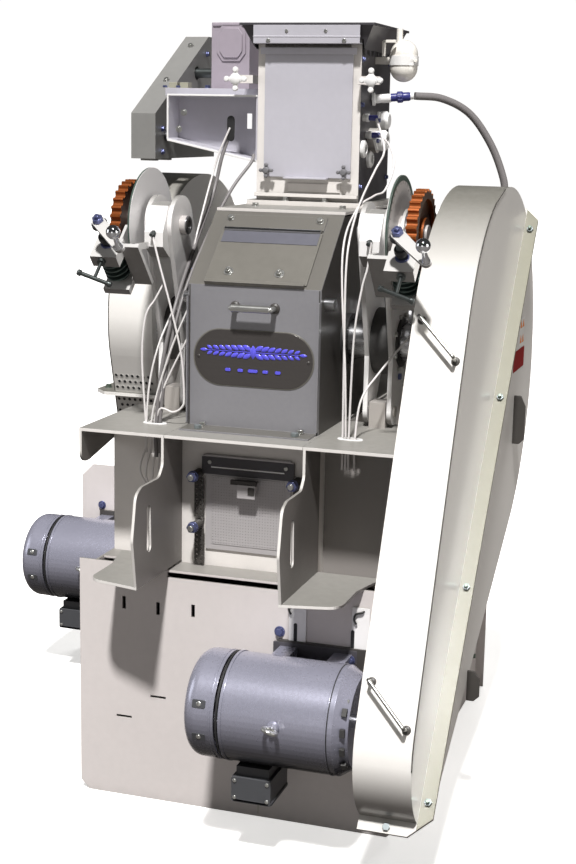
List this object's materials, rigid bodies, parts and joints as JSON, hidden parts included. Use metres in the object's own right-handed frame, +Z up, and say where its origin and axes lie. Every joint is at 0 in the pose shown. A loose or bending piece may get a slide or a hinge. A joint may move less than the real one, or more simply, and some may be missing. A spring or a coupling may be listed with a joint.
{
  "type": "grain mill",
  "caption": "Floor-standing roller grain mill: metering feeder over a guarded roll housing, belt-driven rolls, side motors and hand-cranked worm gap adjusters on a sheet-metal base.",
  "frame": {"origin": "centre of the four floor anchor holes, on the floor, midway between the two rolls", "axes": "+Z up, +X to the operator's right when facing the machine, -Y towards the operator"},
  "size_m": [1.606, 1.6604, 2.074],
  "materials": {
    "base_front_plate": "off-white powder coat",
    "base_panels": "off-white powder coat",
    "base_deck": "off-white powder coat",
    "motor_wing_plate": "off-white powder coat",
    "core_panels": "off-white powder coat",
    "shelf_center": "light grey-green powder coat on cream brackets",
    "shelf_brackets": "light grey-green powder coat on cream brackets",
    "housing_side_plates": "dark grey powder coat",
    "housing_sheets": "mid-grey powder coat",
    "housing_top_plate": "cream powder coat",
    "inspection_door": "olive-grey powder coat",
    "pull_handles": "plated bar",
    "shaft_seals": "black rubber lip seal",
    "roll_scrapers": "ground bar",
    "swing_arms": "off-white powder coat",
    "front_bearing_housings": "dark painted casting",
    "rear_bearing_blocks": "dark painted casting",
    "fasteners": "bluish zinc plating",
    "front_roll": "chilled iron with grooved face",
    "rear_roll": "chilled iron with grooved face",
    "front_roll_sheave": "machined iron",
    "rear_roll_sheave": "machined iron",
    "front_motor_sheave": "machined iron",
    "rear_motor_sheave": "machined iron",
    "left_worm_wheel": "cast bronze gear",
    "right_worm_wheel": "cast bronze gear",
    "left_gap_dial": "grey dial with dark rim",
    "right_gap_dial": "grey dial with dark rim",
    "left_crank": "cream arm with plated ball",
    "right_crank": "cream arm with plated ball",
    "left_lock_handle": "dark oiled steel",
    "right_lock_handle": "dark oiled steel",
    "worm_brackets": "off-white powder coat",
    "right_guard_cover": "warm light grey powder coat",
    "right_guard_back": "warm light grey powder coat",
    "left_guard_upper": "warm light grey powder coat",
    "left_guard_lower": "warm light grey powder coat",
    "front_belt": "ribbed drive belt",
    "rear_belt": "ribbed drive belt",
    "motor_frames": "metallic blue-grey enamel",
    "motor_fan_covers": "metallic blue-grey enamel",
    "motor_conduit_boxes": "dark grey enamel",
    "motor_mounts": "dark primer",
    "front_motor_rotor": "machined steel",
    "rear_motor_rotor": "machined steel",
    "feeder_body": "cream powder coat",
    "feeder_hopper_top": "charcoal powder coat",
    "feeder_door": "light lavender-grey powder coat",
    "feed_roll": "machined steel",
    "feeder_gearmotor": "grey enamel",
    "feeder_drive_sprocket": "machined steel",
    "feeder_drive_guard": "olive grey powder coat",
    "feeder_channel_box": "white powder coat",
    "feeder_tank": "cream enamel",
    "door_knob_left": "grey moulded plastic",
    "door_knob_right": "grey moulded plastic",
    "side_knob_left": "white moulded plastic",
    "side_knob_right": "white moulded plastic",
    "discharge_chute": "grey sheet",
    "discharge_door": "brown-grey powder coat"
  },
  "bodies": {
    "frame": {"base_front_plate": "base_front_plate", "base_panels": "base_panels", "base_deck": "base_deck", "motor_wing_plate": "motor_wing_plate", "core_panels": "core_panels", "shelf_center": "shelf_center", "shelf_brackets": "shelf_brackets", "housing_side_plates": "housing_side_plates", "housing_sheets": "housing_sheets", "housing_top_plate": "housing_top_plate", "pull_handles": "pull_handles", "shaft_seals": "shaft_seals", "roll_scrapers": "roll_scrapers", "rear_bearing_blocks": "rear_bearing_blocks", "fasteners": "fasteners", "right_guard_cover": "right_guard_cover", "right_guard_back": "right_guard_back", "left_guard_upper": "left_guard_upper", "left_guard_lower": "left_guard_lower", "front_belt": "front_belt", "rear_belt": "rear_belt", "motor_frames": "motor_frames", "motor_fan_covers": "motor_fan_covers", "motor_conduit_boxes": "motor_conduit_boxes", "motor_mounts": "motor_mounts", "feeder_body": "feeder_body", "feeder_hopper_top": "feeder_hopper_top", "feeder_gearmotor": "feeder_gearmotor", "feeder_drive_guard": "feeder_drive_guard", "feeder_channel_box": "feeder_channel_box", "feeder_tank": "feeder_tank", "discharge_chute": "discharge_chute"},
    "roll_carriage": {"swing_arms": "swing_arms", "front_bearing_housings": "front_bearing_housings", "worm_brackets": "worm_brackets"},
    "front_roll_body": {"front_roll": "front_roll", "front_roll_sheave": "front_roll_sheave"},
    "rear_roll_body": {"rear_roll": "rear_roll", "rear_roll_sheave": "rear_roll_sheave"},
    "front_motor_body": {"front_motor_rotor": "front_motor_rotor", "front_motor_sheave": "front_motor_sheave"},
    "rear_motor_body": {"rear_motor_rotor": "rear_motor_rotor", "rear_motor_sheave": "rear_motor_sheave"},
    "feed_roll_body": {"feed_roll": "feed_roll"},
    "feeder_drive_body": {"feeder_drive_sprocket": "feeder_drive_sprocket"},
    "inspection_door_body": {"inspection_door": "inspection_door"},
    "feeder_door_body": {"feeder_door": "feeder_door"},
    "left_gap_body": {"left_worm_wheel": "left_worm_wheel", "left_gap_dial": "left_gap_dial"},
    "right_gap_body": {"right_worm_wheel": "right_worm_wheel", "right_gap_dial": "right_gap_dial"},
    "left_crank_body": {"left_crank": "left_crank"},
    "right_crank_body": {"right_crank": "right_crank"},
    "left_lock_handle_body": {"left_lock_handle": "left_lock_handle"},
    "right_lock_handle_body": {"right_lock_handle": "right_lock_handle"},
    "door_knob_left_body": {"door_knob_left": "door_knob_left"},
    "door_knob_right_body": {"door_knob_right": "door_knob_right"},
    "side_knob_left_body": {"side_knob_left": "side_knob_left"},
    "side_knob_right_body": {"side_knob_right": "side_knob_right"},
    "discharge_door_body": {"discharge_door": "discharge_door"}
  },
  "joints": [
    {"name": "roll_gap_swing", "type": "hinge", "parent": "frame", "child": "roll_carriage", "pos_m": [0, -0.285, 1.052], "axis": [1, 0, 0], "range_deg": [-0.4, 0.4]},
    {"name": "front_roll_spin", "type": "hinge", "parent": "roll_carriage", "child": "front_roll_body", "pos_m": [0, -0.2295, 1.229], "axis": [1, 0, 0], "continuous": true},
    {"name": "rear_roll_spin", "type": "hinge", "parent": "frame", "child": "rear_roll_body", "pos_m": [0, 0.2295, 1.229], "axis": [1, 0, 0], "continuous": true},
    {"name": "front_motor_spin", "type": "hinge", "parent": "frame", "child": "front_motor_body", "pos_m": [0, -0.76, 0.377], "axis": [1, 0, 0], "continuous": true},
    {"name": "rear_motor_spin", "type": "hinge", "parent": "frame", "child": "rear_motor_body", "pos_m": [0, 0.27, 0.377], "axis": [1, 0, 0], "continuous": true},
    {"name": "feed_roll_spin", "type": "hinge", "parent": "frame", "child": "feed_roll_body", "pos_m": [0, 0.06, 1.745], "axis": [1, 0, 0], "continuous": true},
    {"name": "feeder_drive_spin", "type": "hinge", "parent": "frame", "child": "feeder_drive_body", "pos_m": [-0.5, 0.3, 1.93], "axis": [1, 0, 0], "continuous": true},
    {"name": "inspection_door_hinge", "type": "hinge", "parent": "frame", "child": "inspection_door_body", "pos_m": [0, -0.33727, 1.51438], "axis": [-1, 0, 0], "range_deg": [0, 100]},
    {"name": "feeder_door_hinge", "type": "hinge", "parent": "frame", "child": "feeder_door_body", "pos_m": [0, -0.0562, 1.988], "axis": [-1, 0, 0], "range_deg": [0, 75]},
    {"name": "discharge_door_hinge", "type": "hinge", "parent": "frame", "child": "discharge_door_body", "pos_m": [0, -0.501, 0.941], "axis": [-1, 0, 0], "range_deg": [0, 80]},
    {"name": "right_gap_turn", "type": "hinge", "parent": "roll_carriage", "child": "right_gap_body", "pos_m": [0.395, -0.34, 1.519], "axis": [1, 0, 0], "range_deg": [-60, 60]},
    {"name": "right_crank_turn", "type": "hinge", "parent": "roll_carriage", "child": "right_crank_body", "pos_m": [0.39, -0.454, 1.415], "axis": [0, -0.6717, 0.7408], "range_deg": [-2400, 2400]},
    {"name": "right_lock_turn", "type": "hinge", "parent": "roll_carriage", "child": "right_lock_handle_body", "pos_m": [0.395, -0.49833, 1.46389], "axis": [0, -0.7408, -0.6717], "range_deg": [-90, 90]},
    {"name": "left_gap_turn", "type": "hinge", "parent": "roll_carriage", "child": "left_gap_body", "pos_m": [-0.395, -0.34, 1.519], "axis": [1, 0, 0], "range_deg": [-60, 60]},
    {"name": "left_crank_turn", "type": "hinge", "parent": "roll_carriage", "child": "left_crank_body", "pos_m": [-0.39, -0.454, 1.415], "axis": [0, -0.6717, 0.7408], "range_deg": [-2400, 2400]},
    {"name": "left_lock_turn", "type": "hinge", "parent": "roll_carriage", "child": "left_lock_handle_body", "pos_m": [-0.395, -0.49833, 1.46389], "axis": [0, -0.7408, -0.6717], "range_deg": [-90, 90]},
    {"name": "door_knob_left_turn", "type": "hinge", "parent": "feeder_door_body", "child": "door_knob_left_body", "pos_m": [-0.111, -0.07, 1.659], "axis": [0, -1, 0], "range_deg": [-720, 720]},
    {"name": "door_knob_right_turn", "type": "hinge", "parent": "feeder_door_body", "child": "door_knob_right_body", "pos_m": [0.111, -0.07, 1.659], "axis": [0, -1, 0], "range_deg": [-720, 720]},
    {"name": "side_knob_left_turn", "type": "hinge", "parent": "frame", "child": "side_knob_left_body", "pos_m": [-0.1909, -0.1, 1.903], "axis": [0, -1, 0], "range_deg": [-720, 720]},
    {"name": "side_knob_right_turn", "type": "hinge", "parent": "frame", "child": "side_knob_right_body", "pos_m": [0.1909, -0.1, 1.903], "axis": [0, -1, 0], "range_deg": [-720, 720]}
  ],
  "couplings": [
    {"joint": "front_motor_spin", "follows": "front_roll_spin", "ratio": 3.9429},
    {"joint": "rear_motor_spin", "follows": "rear_roll_spin", "ratio": 3.9429},
    {"joint": "feeder_drive_spin", "follows": "feed_roll_spin", "ratio": 1.25},
    {"joint": "left_crank_turn", "follows": "left_gap_turn", "ratio": 40},
    {"joint": "right_crank_turn", "follows": "right_gap_turn", "ratio": 40}
  ]
}
